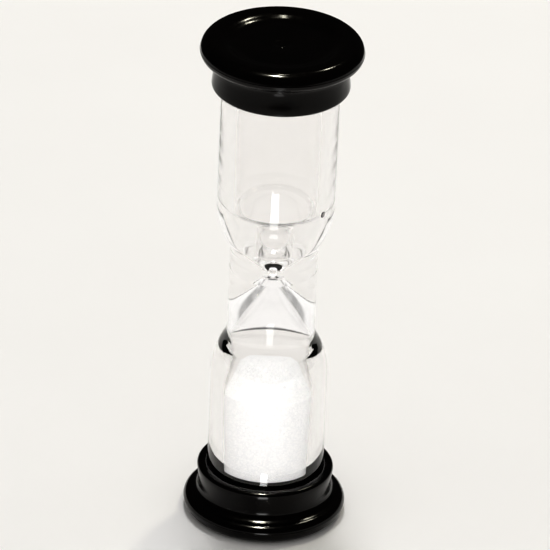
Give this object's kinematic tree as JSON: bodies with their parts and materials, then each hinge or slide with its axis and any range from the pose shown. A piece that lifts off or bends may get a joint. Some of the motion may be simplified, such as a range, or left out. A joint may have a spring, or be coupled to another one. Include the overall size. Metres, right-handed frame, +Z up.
{
  "type": "hourglass",
  "caption": "Sand timer with a clear thick-walled body, waisted in the middle, a round beaded cap on each end and fine white sand in the lower chamber.",
  "frame": {"origin": "centre of the base, on the plane the timer stands on", "axes": "+Z up along the timer's axis of symmetry; -Y faces the viewer"},
  "size_m": [0.0254, 0.0254, 0.0825],
  "materials": {
    "cap_plastic": "gloss black",
    "clear_plastic": "clear moulded plastic, taken to be polystyrene",
    "bush_plastic": "clear moulded plastic",
    "sand_grains": "fine white sand"
  },
  "bodies": {
    "timer": {"lower_cap": "cap_plastic", "upper_cap": "cap_plastic", "lower_chamber": "clear_plastic", "upper_chamber": "clear_plastic", "metering_bush": "bush_plastic"},
    "sand": {"sand": "sand_grains"}
  },
  "joints": [
    {"name": "sand_drop", "type": "slide", "parent": "timer", "child": "sand", "axis": [0, 0, 1], "range_m": [0, 0.0065]}
  ]
}
